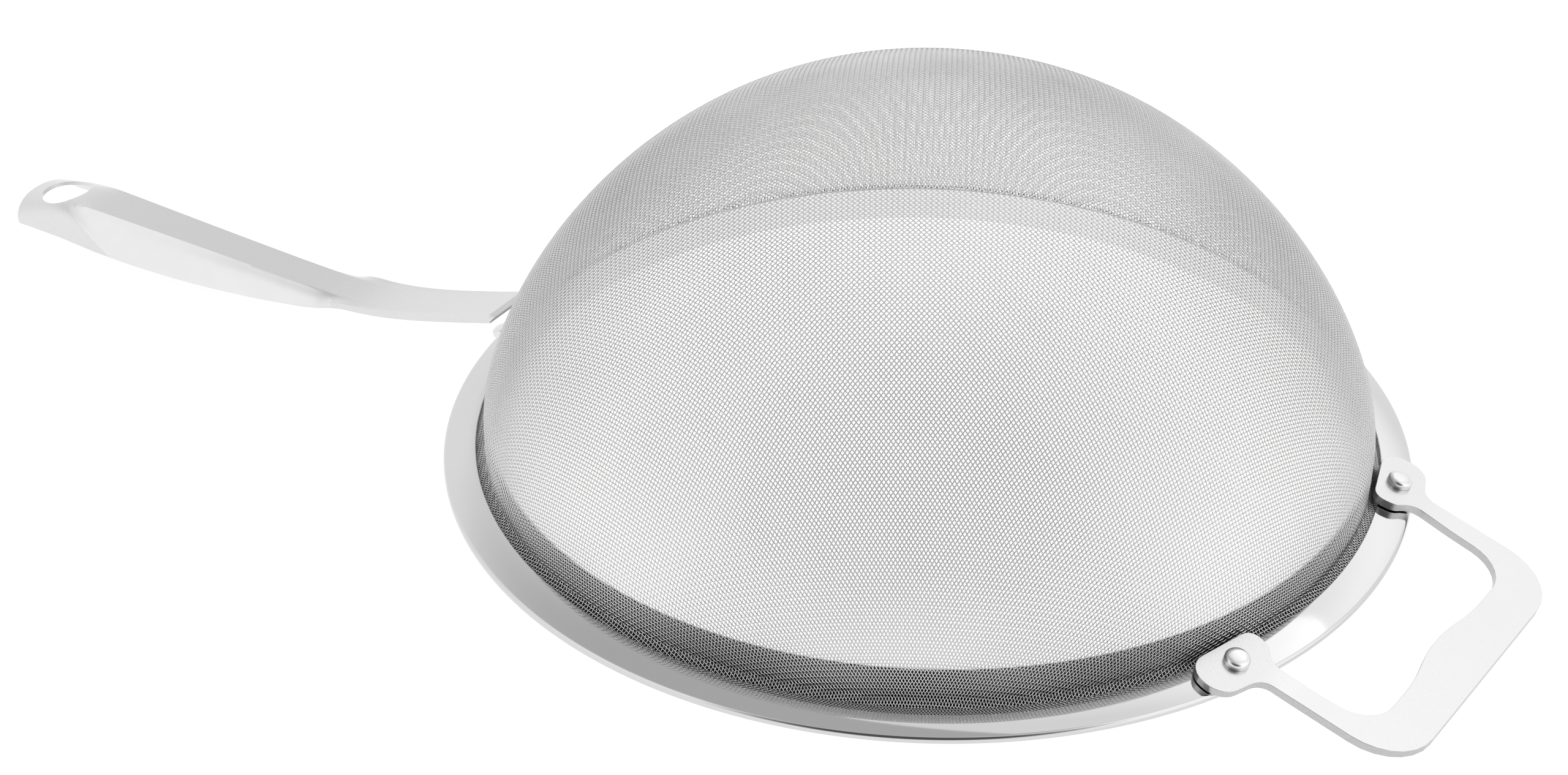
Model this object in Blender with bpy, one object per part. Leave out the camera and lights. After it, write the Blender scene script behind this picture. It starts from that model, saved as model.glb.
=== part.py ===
"""Large hand strainer, standing dome up: wire cloth bowl, clamped rim, two riveted handles.

The design frame has its origin on the bowl's axis at the height of the rim's rolled edge, with
the long handle along -X and the helper handle along +X. settle() then moves everything so that
the origin is the bottom centre of the whole object's box.
"""
import math

import bmesh
import bpy
from mathutils import Matrix, Vector

MM = 0.001
GAP = 0.30 * MM                 # between pieces that touch
SEGMENTS = 72                   # around every turned ring

# rim
RIM_RADIUS = 127.0 * MM         # outside of the rolled edge
BEAD_RADIUS = 1.0 * MM
FLANGE_INNER = 118.4 * MM
FLANGE_TOP = 2.4 * MM           # height of the flange's inner edge
FLANGE_SLOPE = math.tan(math.radians(17.0))
SHEET = 0.8 * MM

# bowl and the collar that backs its lowest strip
CLOTH = 0.7 * MM                # thickness of the woven cloth
BOWL_RADIUS = 116.2 * MM        # outside of the cloth at the rim
BOWL_HEIGHT = 99.6 * MM
COLLAR_HEIGHT = 11.0 * MM
BOWL_FLATTEN = 1.5              # shape of the dome: 2 and 2 would be an ellipse
BOWL_FULLNESS = 2.15
HEM_RADIUS = 118.9 * MM         # how far the cloth's hem and the collar's foot run outwards
FOOT_RADIUS = 119.2 * MM

# rivets
RIVET_CIRCLE = 122.35 * MM
RIVET_HEAD = 3.25 * MM
RIVET_HEAD_WALL = 1.3 * MM
RIVET_HEAD_CROWN = 0.7 * MM
RIVET_SHANK = 1.7 * MM
RIVET_TAIL = 2.2 * MM
RIVET_TAIL_WALL = 0.8 * MM
RIVET_HOLE = 2.0 * MM
HELPER_RIVET_ANGLE = 21.9       # degrees either side of +X
HANDLE_RIVET_ANGLE = 10.8       # degrees either side of -X

# helper handle
HELPER_PLATE = 2.2 * MM
HELPER_REACH = 160.4 * MM
HELPER_BAR_INNER = 146.4 * MM
HELPER_ARM_OUTER = 46.0 * MM
HELPER_ARM_INNER = 40.2 * MM
HELPER_EAR_OUT = 58.2 * MM      # how far the ear's tip stands from the middle
HELPER_FLAT_FROM = 120.0 * MM   # where the plate leaves the flange
HELPER_FLAT_OVER = 14.0 * MM    # and how far it takes to become one plane

# long handle
STRAP_HALF = 8.3 * MM
STRAP_PLATE = 2.0 * MM
STRAP_SLOPE = 0.335
STRAP_START = 136.0 * MM        # where the bracket ends and the strap begins
SPINE_LEVEL = -19.2 * MM
SPINE_END = 296.0 * MM
HANDLE_END = 317.0 * MM
HANDLE_STEPS = 44
PAD_SLOPE = math.tan(math.radians(14.3))
HOLE_CENTRE = 304.5 * MM
HOLE_RADIUS = 7.8 * MM
GRIP_WALL = 1.8 * MM
BEND_SOFTNESS = 9.0 * MM        # how gently the strap turns level
PAD_SOFTNESS = 3.6 * MM         # how gently the level part turns down into the pad
WALL_FROM, WALL_OVER = 180.0, 30.0   # mm, where the strap thins to the grip's wall
END_ROUNDING = 3.0 * MM         # how much the end's corners stand back from its middle
END_OVER = 5.0 * MM
END_HALF = 14.0 * MM
BRACKET_LIFT = 0.3 * MM         # extra, because the bracket is flat on a coned flange
BRACKET_CLEAR = 0.8 * MM        # between the cloth and the bracket's inner edge
BRACKET_SPAN = 14.4             # degrees either side of -X that the inner edge covers
BRACKET_ARC_STEPS = 9
BRACKET_NECK = 129.0 * MM       # where the strap's edge turns into the ear
BRACKET_TIP = (121.6 * MM, 34.4 * MM)


# ---------------------------------------------------------------- helpers

def clear_scene():
    for old in list(bpy.data.objects):
        bpy.data.objects.remove(old, do_unlink=True)


def metal(name, colour, roughness):
    made = bpy.data.materials.new(name)
    made.use_nodes = True
    shader = made.node_tree.nodes["Principled BSDF"]
    shader.inputs["Base Color"].default_value = (*colour, 1.0)
    shader.inputs["Metallic"].default_value = 1.0
    shader.inputs["Roughness"].default_value = roughness
    return made


def add_object(name, bm, material, smooth_angle=30.0):
    bmesh.ops.recalc_face_normals(bm, faces=bm.faces)
    mesh = bpy.data.meshes.new(name)
    bm.to_mesh(mesh)
    bm.free()
    mesh.shade_smooth()
    mesh.set_sharp_from_angle(angle=math.radians(smooth_angle))
    mesh.materials.append(material)
    made = bpy.data.objects.new(name, mesh)
    bpy.context.scene.collection.objects.link(made)
    return made


def turned(name, profile, material, segments=SEGMENTS):
    """A closed (radius, height) profile turned about Z."""
    bm = bmesh.new()
    rings = []
    for k in range(segments):
        angle = 2.0 * math.pi * k / segments
        rings.append([bm.verts.new((r * math.cos(angle), r * math.sin(angle), z)) if r > 0.0 else None
                      for r, z in profile])
    poles = {i: bm.verts.new((0.0, 0.0, z)) for i, (r, z) in enumerate(profile) if r <= 0.0}
    count = len(profile)
    for k in range(segments):
        here, there = rings[k], rings[(k + 1) % segments]
        for i in range(count):
            j = (i + 1) % count
            corners = [poles.get(i) or here[i], poles.get(j) or here[j],
                       poles.get(j) or there[j], poles.get(i) or there[i]]
            face = list(dict.fromkeys(corners))
            if len(face) > 2:
                bm.faces.new(face)
    return add_object(name, bm, material)


def cut_with_cylinder(target, centre, axis, radius, depth=12.0 * MM, segments=24):
    """Drills target with a hidden round cutter."""
    bm = bmesh.new()
    turn = Vector((0, 0, 1)).rotation_difference(axis).to_matrix().to_4x4()
    bmesh.ops.create_cone(bm, cap_ends=True, segments=segments, radius1=radius, radius2=radius,
                          depth=depth, matrix=Matrix.Translation(centre) @ turn)
    mesh = bpy.data.meshes.new(target.name + "_drill")
    bm.to_mesh(mesh)
    bm.free()
    drill = bpy.data.objects.new(mesh.name, mesh)
    bpy.context.scene.collection.objects.link(drill)
    drill.hide_render = True
    drill.display_type = "WIRE"
    cut = target.modifiers.new("drill", "BOOLEAN")
    cut.operation = "DIFFERENCE"
    cut.object = drill
    return drill


def filleted(corners, steps=5):
    """Points of an outline from (x, y, radius) corners; radius 0 keeps a sharp corner."""
    points = []
    count = len(corners)
    for i, (x, y, radius) in enumerate(corners):
        here = Vector((x, y))
        if radius <= 0.0:
            points.append(here)
            continue
        before = (Vector(corners[i - 1][:2]) - here).normalized()
        after = (Vector(corners[(i + 1) % count][:2]) - here).normalized()
        half = before.angle(after) / 2.0
        centre = here + (before + after).normalized() * (radius / math.sin(half))
        start = here + before * (radius / math.tan(half)) - centre
        end = here + after * (radius / math.tan(half)) - centre
        sweep = start.angle_signed(end)
        for k in range(steps + 1):
            turn = Matrix.Rotation(-sweep * k / steps, 2)
            points.append(centre + turn @ start)
    return points


def finely(outline, longest=4.0 * MM):
    """The outline with extra points, so that no side is longer than longest."""
    points = []
    for here, there in zip(outline, outline[1:] + outline[:1]):
        parts = max(1, math.ceil((there - here).length / longest))
        points += [here.lerp(there, k / parts) for k in range(parts)]
    return points


def curved_plate(outline, top_height, thickness):
    """A sheet cut to an outline, then pressed so that its top face follows top_height(x, y)."""
    bm = bmesh.new()
    rim = [bm.verts.new((p.x, p.y, 0.0)) for p in outline]
    sheet = bm.faces.new(rim)
    sheet.normal_update()
    bmesh.ops.triangulate(bm, faces=[sheet])
    grown = bmesh.ops.extrude_face_region(bm, geom=list(bm.faces))
    top = {v for v in grown["geom"] if isinstance(v, bmesh.types.BMVert)}
    for v in bm.verts:
        v.co.z = top_height(v.co.x, v.co.y) - (0.0 if v in top else thickness)
    return bm


def smooth_step(t):
    t = min(max(t, 0.0), 1.0)
    return t * t * (3.0 - 2.0 * t)


def flange_height(radius):
    """Top of the sloping flange at a radius."""
    return FLANGE_TOP - (radius - FLANGE_INNER) * FLANGE_SLOPE


def bowl_radius(height):
    """Outside of the cloth at a height: upright on the collar, then the dome."""
    rise = min(max((height - COLLAR_HEIGHT) / (BOWL_HEIGHT - COLLAR_HEIGHT), 0.0), 1.0)
    return BOWL_RADIUS * (1.0 - rise ** BOWL_FLATTEN) ** (1.0 / BOWL_FULLNESS)


# ---------------------------------------------------------------- rim and bowl

def rim_flange(material):
    bead = (RIM_RADIUS - BEAD_RADIUS, flange_height(RIM_RADIUS - BEAD_RADIUS) - BEAD_RADIUS)
    under = SHEET / math.cos(math.atan(FLANGE_SLOPE))
    neck = RIM_RADIUS - 2.0 * BEAD_RADIUS
    profile = [(FLANGE_INNER, flange_height(FLANGE_INNER) - under),
               (FLANGE_INNER, flange_height(FLANGE_INNER)),
               (neck, flange_height(neck))]
    for k in range(9):
        angle = math.radians(95.0 - 28.0 * k)
        profile.append((bead[0] + BEAD_RADIUS * math.cos(angle), bead[1] + BEAD_RADIUS * math.sin(angle)))
    profile.append((neck - 0.2 * MM, flange_height(neck - 0.2 * MM) - under))
    return turned("rim_flange", profile, material)


def hem_height(radius):
    """Top of the cloth's hem, just under the flange."""
    return flange_height(radius) - SHEET / math.cos(math.atan(FLANGE_SLOPE)) - GAP


def foot_height(radius):
    """Top of the collar's foot, just under the hem."""
    return hem_height(radius) - CLOTH - GAP


def rim_collar(material):
    outer = BOWL_RADIUS - CLOTH - GAP
    inner = outer - SHEET
    profile = [(inner, foot_height(outer) - SHEET),
               (inner, COLLAR_HEIGHT),
               (outer, COLLAR_HEIGHT),
               (outer, foot_height(outer)),
               (FOOT_RADIUS, foot_height(FOOT_RADIUS)),
               (FOOT_RADIUS, foot_height(FOOT_RADIUS) - SHEET)]
    return turned("rim_collar", profile, material)


def bowl_profile(inset, start, steps=17):
    """(radius, height) points of the cloth's outside or inside, from start up to the pole."""
    points = [(BOWL_RADIUS - inset, start)]
    for k in range(steps):
        turn = 0.5 * math.pi * k / steps
        height = COLLAR_HEIGHT + (BOWL_HEIGHT - COLLAR_HEIGHT) * math.sin(turn) ** 1.25
        step = 0.05 * MM
        lean = (bowl_radius(height) - bowl_radius(height + step)) / step if k else 0.0
        across = math.hypot(1.0, lean)
        points.append((bowl_radius(height) - inset / across, height - inset * lean / across))
    points.append((0.0, BOWL_HEIGHT - inset))
    return points


def mesh_bowl(material):
    inner = BOWL_RADIUS - CLOTH
    outside = bowl_profile(0.0, hem_height(BOWL_RADIUS))
    inside = bowl_profile(CLOTH, hem_height(inner) - CLOTH)
    hem = [(HEM_RADIUS, hem_height(HEM_RADIUS) - CLOTH), (HEM_RADIUS, hem_height(HEM_RADIUS))]
    return turned("mesh_bowl", outside + inside[::-1] + hem, material)


# ---------------------------------------------------------------- rivets

def flange_seat(angle):
    """A rivet's place on the flange and the flange's normal there; angle in degrees from +X."""
    turn = math.radians(angle)
    outward = Vector((math.cos(turn), math.sin(turn), 0.0))
    place = outward * RIVET_CIRCLE + Vector((0, 0, flange_height(RIVET_CIRCLE)))
    normal = (outward * FLANGE_SLOPE + Vector((0, 0, 1))).normalized()
    return place, normal


def rivet(name, angle, ear_top, material):
    """ear_top is how far the ear's top face stands above the flange along the normal."""
    place, normal = flange_seat(angle)
    under = -SHEET - GAP
    seat = ear_top + GAP
    profile = [(0.0, under - RIVET_TAIL_WALL), (RIVET_TAIL, under - RIVET_TAIL_WALL),
               (RIVET_TAIL, under), (RIVET_SHANK, under), (RIVET_SHANK, seat),
               (RIVET_HEAD, seat), (RIVET_HEAD, seat + RIVET_HEAD_WALL)]
    for k in range(1, 4):
        lean = math.radians(90.0 * k / 4)
        profile.append((RIVET_HEAD * math.cos(lean) ** 0.6,
                        seat + RIVET_HEAD_WALL + RIVET_HEAD_CROWN * math.sin(lean)))
    profile.append((0.0, seat + RIVET_HEAD_WALL + RIVET_HEAD_CROWN))
    made = turned(name, profile, material, segments=24)
    turn = Vector((0, 0, 1)).rotation_difference(normal).to_matrix().to_4x4()
    made.matrix_world = Matrix.Translation(place) @ turn
    return made


# ---------------------------------------------------------------- helper handle

def helper_outline():
    """Half the plate's plan, from the bar's outer edge round the ear to the bar's inner edge."""
    half = [(HELPER_REACH, HELPER_ARM_OUTER + 0.3 * MM, 15.0 * MM),
            (121.4 * MM, HELPER_ARM_OUTER + 0.4 * MM, 5.0 * MM),
            (116.6 * MM, HELPER_EAR_OUT, 6.0 * MM),
            (105.4 * MM, 55.8 * MM, 4.0 * MM),
            (112.4 * MM, 35.0 * MM, 3.0 * MM),
            (117.2 * MM, 36.2 * MM, 3.0 * MM),
            (120.6 * MM, HELPER_ARM_INNER + 0.3 * MM, 6.0 * MM),
            (148.6 * MM, HELPER_ARM_INNER - 0.9 * MM, 10.5 * MM),
            (148.6 * MM, 17.0 * MM, 12.0 * MM),
            (HELPER_BAR_INNER, 5.0 * MM, 12.0 * MM)]
    mirrored = [(x, -y, r) for x, y, r in reversed(half)]
    return filleted(half + mirrored)


def helper_height(x, y):
    """Top of the helper plate: flat on the flange at each ear, one sloping plane further out."""
    turn = math.radians(HELPER_RIVET_ANGLE)
    lift = (HELPER_PLATE + GAP) / math.cos(math.atan(FLANGE_SLOPE))
    rivet_x = RIVET_CIRCLE * math.cos(turn)
    rivet_y = RIVET_CIRCLE * math.sin(turn)
    along = FLANGE_SLOPE * math.cos(turn) * (x - rivet_x)
    sideways = FLANGE_SLOPE * math.sin(turn) * (abs(y) - rivet_y)
    flatten = smooth_step((x - HELPER_FLAT_FROM) / HELPER_FLAT_OVER)
    return flange_height(RIVET_CIRCLE) + lift - along - sideways * (1.0 - flatten)


def helper_handle(material):
    bm = curved_plate(finely(helper_outline()), helper_height, HELPER_PLATE)
    made = add_object("helper_handle", bm, material)
    for side in (-1, 1):
        cut_with_cylinder(made, *flange_seat(side * HELPER_RIVET_ANGLE), RIVET_HOLE)
    return made


# ---------------------------------------------------------------- long handle

def bracket_height(x, y):
    """Top of the bracket: one plane lying on the flange, sloping down outwards."""
    crown = flange_height(FLANGE_INNER) + STRAP_PLATE + GAP + BRACKET_LIFT
    return crown - STRAP_SLOPE * (-x - FLANGE_INNER)


def soft_ramp(past, softness):
    """Zero before a corner and the distance past it after, with a soft bend between."""
    return softness * math.log1p(math.exp(past / softness))


def spine_height(reach):
    """Top of the handle along its middle, at a distance from the bowl's axis."""
    bend = (SPINE_LEVEL - bracket_height(-STRAP_START, 0.0)) / -STRAP_SLOPE + STRAP_START
    drop = STRAP_SLOPE * soft_ramp(bend - reach, BEND_SOFTNESS)
    return SPINE_LEVEL + drop - PAD_SLOPE * soft_ramp(reach - SPINE_END, PAD_SOFTNESS)


def blend(reach, stops):
    """Smooth value along the handle from (reach in mm, value in mm) stops."""
    for (a, first), (b, second) in zip(stops, stops[1:]):
        if reach <= b * MM:
            return MM * (first + (second - first) * smooth_step((reach / MM - a) / (b - a)))
    return MM * stops[-1][1]


# (reach, value) along the handle, in mm
SPINE_HALF = [(136, 5.4), (205, 5.4), (285, 6.6), (300, 6.9), (317, 6.6)]
GRIP_HALF = [(136, 8.3), (180, 8.5), (205, 10.2), (262, 14.2), (300, 14.6), (317, 13.8)]
GRIP_DROP = [(136, 0.0), (188, 0.0), (206, 1.6), (250, 8.4), (285, 9.0), (300, 7.0), (317, 5.0)]
GRIP_BULGE = [(136, 0.0), (196, 0.0), (225, 1.2), (265, 1.6), (290, 0.3), (317, 0.2)]


def grip_section(reach, side_steps=4):
    """(y, z) points across the handle's outer face, from the -y edge to the +y edge."""
    spine, half = blend(reach, SPINE_HALF), blend(reach, GRIP_HALF)
    drop, bulge = blend(reach, GRIP_DROP), blend(reach, GRIP_BULGE)
    level = spine_height(reach)
    side = []
    for k in range(side_steps, 0, -1):
        t = k / side_steps
        swell = bulge * math.sin(math.pi * t)
        side.append((spine + (half - spine) * t + swell * 0.8, level - drop * t ** 1.1 + swell * 0.6))
    side.append((spine, level))
    return [(-y, z) for y, z in side] + [(0.0, level)] + side[::-1]


def inner_section(outer, wall):
    """The same section moved in by the wall thickness, square to the face."""
    points = []
    count = len(outer)
    for k, (y, z) in enumerate(outer):
        y0, z0 = outer[max(k - 1, 0)]
        y1, z1 = outer[min(k + 1, count - 1)]
        length = math.hypot(y1 - y0, z1 - z0)
        points.append((y + (z1 - z0) / length * wall, z - (y1 - y0) / length * wall))
    return points


def long_handle(material):
    bm = bmesh.new()
    reaches = [STRAP_START + (HANDLE_END - STRAP_START) * k / HANDLE_STEPS
               for k in range(HANDLE_STEPS + 1)]
    loops = []
    for reach in reaches:
        outer = grip_section(reach)
        wall = STRAP_PLATE + (GRIP_WALL - STRAP_PLATE) * smooth_step((reach / MM - WALL_FROM) / WALL_OVER)
        inner = inner_section(outer, wall)
        end = END_ROUNDING * smooth_step((reach - HANDLE_END + END_OVER) / END_OVER)
        square = [(-(reach - end * (y / END_HALF) ** 2), y, z) for y, z in outer + inner[::-1]]
        loops.append([bm.verts.new(p) for p in square])
    count = len(loops[0])
    for here, there in zip(loops, loops[1:]):
        for k in range(count):
            j = (k + 1) % count
            bm.faces.new((here[k], there[k], there[j], here[j]))
    tip = loops[-1]
    across = count // 2
    for k in range(across - 1):
        bm.faces.new((tip[k], tip[k + 1], tip[count - 2 - k], tip[count - 1 - k]))
    bracket(bm, loops[0])
    made = add_object("long_handle", bm, material)
    for side in (-1, 1):
        place, normal = flange_seat(180.0 + side * HANDLE_RIVET_ANGLE)
        cut_with_cylinder(made, place, normal, RIVET_HOLE)
    hole = Vector((-HOLE_CENTRE, 0.0, spine_height(HOLE_CENTRE)))
    cut_with_cylinder(made, hole, Vector((-PAD_SLOPE, 0.0, 1.0)).normalized(), HOLE_RADIUS, segments=40)
    return made


def bracket(bm, strap):
    """The two-eared plate on the flange, grown from the strap's first section."""
    clear = BOWL_RADIUS + BRACKET_CLEAR
    arc = [math.radians(BRACKET_SPAN * (1.0 - k / BRACKET_ARC_STEPS))
           for k in range(2 * BRACKET_ARC_STEPS + 1)]
    ear = [(-BRACKET_NECK, STRAP_HALF, 3.0 * MM), (-BRACKET_TIP[0], BRACKET_TIP[1], 2.2 * MM)]
    inside = [(-clear * math.cos(a), clear * math.sin(a), 0.0) for a in arc]
    start = [(-STRAP_START, STRAP_HALF, 0.0)]
    corners = start + ear + inside + [(x, -y, r) for x, y, r in reversed(start + ear)]
    outline = filleted(corners)
    inner = outline[1:-1]
    top = [bm.verts.new((p.x, p.y, bracket_height(p.x, p.y))) for p in inner]
    low = [bm.verts.new((p.x, p.y, bracket_height(p.x, p.y) - STRAP_PLATE)) for p in inner]
    across = len(strap) // 2
    strap_top, strap_low = strap[:across], strap[across:][::-1]
    bm.faces.new(strap_top + top)
    bm.faces.new((strap_low + low)[::-1])
    ring = [strap_top[-1]] + top + [strap_top[0]]
    under = [strap_low[-1]] + low + [strap_low[0]]
    for k in range(len(ring) - 1):
        bm.faces.new((ring[k], ring[k + 1], under[k + 1], under[k]))
    bm.normal_update()
    bmesh.ops.triangulate(bm, faces=[f for f in bm.faces if len(f.verts) > 4])


# ---------------------------------------------------------------- assembly

def settle(parts):
    """Moves every part so that the origin is the bottom centre of the object's box."""
    bpy.context.view_layer.update()
    graph = bpy.context.evaluated_depsgraph_get()
    corners = []
    for part in parts:
        shape = part.evaluated_get(graph)
        corners += [shape.matrix_world @ Vector(c) for c in shape.bound_box]
    low = Vector([min(c[i] for c in corners) for i in range(3)])
    high = Vector([max(c[i] for c in corners) for i in range(3)])
    home = bpy.data.objects.new("strainer", None)
    bpy.context.scene.collection.objects.link(home)
    for thing in bpy.data.objects:
        if thing.type == "MESH":
            thing.parent = home
    home.location = (-(low.x + high.x) / 2.0, -(low.y + high.y) / 2.0, -low.z)


def main():
    clear_scene()
    polished = metal("polished_steel", (0.78, 0.78, 0.77), 0.14)
    brushed = metal("brushed_steel", (0.66, 0.66, 0.65), 0.32)
    woven = metal("woven_wire", (0.60, 0.60, 0.59), 0.30)
    flange = rim_flange(polished)
    for angle in (HELPER_RIVET_ANGLE, -HELPER_RIVET_ANGLE, 180.0 - HANDLE_RIVET_ANGLE,
                  180.0 + HANDLE_RIVET_ANGLE):
        cut_with_cylinder(flange, *flange_seat(angle), RIVET_HOLE)
    parts = [flange, rim_collar(polished), mesh_bowl(woven), helper_handle(brushed), long_handle(brushed)]
    helper_top = HELPER_PLATE + GAP
    place, normal = flange_seat(180.0 - HANDLE_RIVET_ANGLE)
    bracket_top = (bracket_height(place.x, place.y) - place.z) * normal.z
    parts.append(rivet("helper_rivet_left", HELPER_RIVET_ANGLE, helper_top, polished))
    parts.append(rivet("helper_rivet_right", -HELPER_RIVET_ANGLE, helper_top, polished))
    parts.append(rivet("handle_rivet_left", 180.0 - HANDLE_RIVET_ANGLE, bracket_top, polished))
    parts.append(rivet("handle_rivet_right", 180.0 + HANDLE_RIVET_ANGLE, bracket_top, polished))
    settle(parts)


main()
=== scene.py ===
"""Looks of a large hand strainer: woven wire bowl, spun steel rim, two riveted handles, dome up.

Laid out as a Blender add-on. Every piece is built in the bowl's own frame, whose origin HOME is on
the bowl's axis at the height of the rolled edge, with the long handle along -X, and takes its place
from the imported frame.
"""
import math

import bmesh
import bpy
import numpy as np
from bpy.props import FloatProperty, IntProperty, PointerProperty, StringProperty
from mathutils import Matrix, Vector


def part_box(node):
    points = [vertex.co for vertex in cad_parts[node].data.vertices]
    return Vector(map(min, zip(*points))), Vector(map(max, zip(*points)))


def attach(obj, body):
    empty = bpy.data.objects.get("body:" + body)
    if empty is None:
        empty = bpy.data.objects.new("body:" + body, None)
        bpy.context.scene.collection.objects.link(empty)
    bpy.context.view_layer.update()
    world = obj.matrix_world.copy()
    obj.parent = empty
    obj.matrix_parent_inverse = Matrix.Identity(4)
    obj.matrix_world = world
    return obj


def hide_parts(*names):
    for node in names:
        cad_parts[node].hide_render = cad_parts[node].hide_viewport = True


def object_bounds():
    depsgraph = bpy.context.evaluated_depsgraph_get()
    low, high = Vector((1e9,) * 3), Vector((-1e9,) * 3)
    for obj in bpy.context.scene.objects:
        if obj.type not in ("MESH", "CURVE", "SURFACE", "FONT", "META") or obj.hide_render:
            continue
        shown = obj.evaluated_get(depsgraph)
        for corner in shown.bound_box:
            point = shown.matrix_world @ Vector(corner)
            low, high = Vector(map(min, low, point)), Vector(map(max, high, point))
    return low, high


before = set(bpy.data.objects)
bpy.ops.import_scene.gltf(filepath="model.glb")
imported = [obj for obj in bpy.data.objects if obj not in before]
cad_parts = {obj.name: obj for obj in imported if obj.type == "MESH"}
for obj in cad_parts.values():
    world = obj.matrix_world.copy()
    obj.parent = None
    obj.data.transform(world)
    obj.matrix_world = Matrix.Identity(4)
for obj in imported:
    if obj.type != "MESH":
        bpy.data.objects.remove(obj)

bl_info = {
    "name": "Hand strainer",
    "version": (1, 0, 0),
    "blender": (4, 5, 0),
    "location": "3D View > Sidebar > Strainer",
    "description": "Builds a woven wire hand strainer and its studio around a packed frame",
    "category": "Add Mesh",
}

MM = 0.001
CAD_BOX = [list(corner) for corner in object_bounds()]
RIM_LOW, RIM_HIGH = (Vector(corner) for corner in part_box("rim_flange"))
RIM_RADIUS = (RIM_HIGH.y - RIM_LOW.y) / 2.0
FLANGE_TOP = 2.4 * MM                       # the flange's inner edge above the origin
HOME = Vector(((RIM_LOW.x + RIM_HIGH.x) / 2.0, (RIM_LOW.y + RIM_HIGH.y) / 2.0, RIM_HIGH.z - FLANGE_TOP))
FLANGE_SLOPE = math.tan(math.radians(17.0))
UPRIGHT = Vector((0.0, 0.0, 1.0))
RIVET_HOLE = 1.85 * MM
HEM_RADIUS = 119.9 * MM                     # how far the cloth's hem runs out under the flange
FOOT_RADIUS = 119.8 * MM                    # and the collar's foot below it


# ---------------------------------------------------------------- sizes and colours a user may change

class StrainerCloth(bpy.types.PropertyGroup):
    pitch: FloatProperty(name="Pitch", description="Distance between neighbouring wires",
                         default=0.98 * MM, unit="LENGTH", precision=5)
    wire: FloatProperty(name="Wire", description="Diameter of one wire",
                        default=0.30 * MM, unit="LENGTH", precision=5)
    turn: FloatProperty(name="Thread direction", description="Angle from +X to the warp at the pole",
                        default=math.radians(-15.0), subtype="ANGLE")
    radius: FloatProperty(name="Radius", description="Outside of the cloth at the rim",
                          default=116.2 * MM, unit="LENGTH", precision=5)
    height: FloatProperty(name="Height", description="Top of the dome above the rim",
                          default=99.6 * MM, unit="LENGTH", precision=5)
    collar: FloatProperty(name="Collar", description="Height of the band behind the cloth",
                          default=11.0 * MM, unit="LENGTH", precision=5)


class StrainerRim(bpy.types.PropertyGroup):
    inner: FloatProperty(name="Inner radius", description="Inner edge of the flange",
                         default=118.4 * MM, unit="LENGTH", precision=5)
    sheet: FloatProperty(name="Sheet", description="Thickness of the rim's steel",
                         default=0.8 * MM, unit="LENGTH", precision=5)
    bead: FloatProperty(name="Bead radius", description="Radius of the rolled outer edge",
                        default=1.15 * MM, unit="LENGTH", precision=5)
    rivet_circle: FloatProperty(name="Rivet circle", description="Distance of the rivets from the axis",
                                default=122.35 * MM, unit="LENGTH", precision=5)
    rivet_head: FloatProperty(name="Rivet head", description="Radius of a rivet's head",
                              default=3.25 * MM, unit="LENGTH", precision=5)
    segments: IntProperty(name="Segments", description="Steps around a spun ring", default=288, min=48)


class StrainerHandles(bpy.types.PropertyGroup):
    loop_plate: FloatProperty(name="Loop plate", description="Thickness of the loop handle",
                              default=2.2 * MM, unit="LENGTH", precision=5)
    loop_angle: FloatProperty(name="Loop rivet angle", description="Half the angle between its rivets",
                              default=math.radians(21.9), subtype="ANGLE")
    strap_plate: FloatProperty(name="Strap plate", description="Thickness of the long handle",
                               default=1.9 * MM, unit="LENGTH", precision=5)
    strap_angle: FloatProperty(name="Strap rivet angle", description="Half the angle between its rivets",
                               default=math.radians(10.8), subtype="ANGLE")
    hole: FloatProperty(name="Hanging hole", description="Radius of the hanging hole",
                        default=7.8 * MM, unit="LENGTH", precision=5)


class StrainerFinish(bpy.types.PropertyGroup):
    spun: StringProperty(name="Spun rim steel", description="sRGB hex colour", default="#D8D8D8")
    polished: StringProperty(name="Polished steel", description="sRGB hex colour", default="#E6E6E6")
    brushed: StringProperty(name="Brushed steel", description="sRGB hex colour", default="#E2E2E2")
    wire: StringProperty(name="Drawn wire", description="sRGB hex colour", default="#E4E4E4")
    # painted shade: the dark grey of the collar's outer face behind the wires
    painted_shade: StringProperty(name="Collar outer painted shade", description="sRGB hex colour", default="#5E5E5E")
    # partly the cut edges' own dull grey, partly painted shade on the upright walls
    edge: StringProperty(name="Dull edge and painted shade", description="sRGB hex colour", default="#CCCCCC")
    # painted reflection: the collar's inner face kept near white
    inside: StringProperty(name="Collar inside painted bright", description="sRGB hex colour", default="#F6F6F6")
    floor: StringProperty(name="Floor", description="sRGB hex colour", default="#FFFFFF")


class StrainerStudio(bpy.types.PropertyGroup):
    azimuth: FloatProperty(name="Camera azimuth", description="Angle of the camera from +X",
                           default=math.radians(-60.126), subtype="ANGLE")
    elevation: FloatProperty(name="Camera elevation", description="Angle of the camera above the rim",
                             default=math.radians(33.409), subtype="ANGLE")
    distance: FloatProperty(name="Camera distance", description="From the rim's centre",
                            default=0.9691, unit="LENGTH")
    roll: FloatProperty(name="Camera roll", description="Turn of the picture",
                        default=math.radians(0.692), subtype="ANGLE")
    aside: FloatProperty(name="Aim aside", description="How far right of the centre the camera aims",
                         default=-38.2 * MM, unit="LENGTH", precision=4)
    above: FloatProperty(name="Aim above", description="How far above the centre the camera aims",
                         default=12.3 * MM, unit="LENGTH", precision=4)
    lens: FloatProperty(name="Lens", description="Focal length on a 36 mm wide sensor",
                        default=84.375, unit="CAMERA")
    floor: FloatProperty(name="Floor radius", description="How far the floor reaches",
                         default=4.0, unit="LENGTH")


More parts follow.
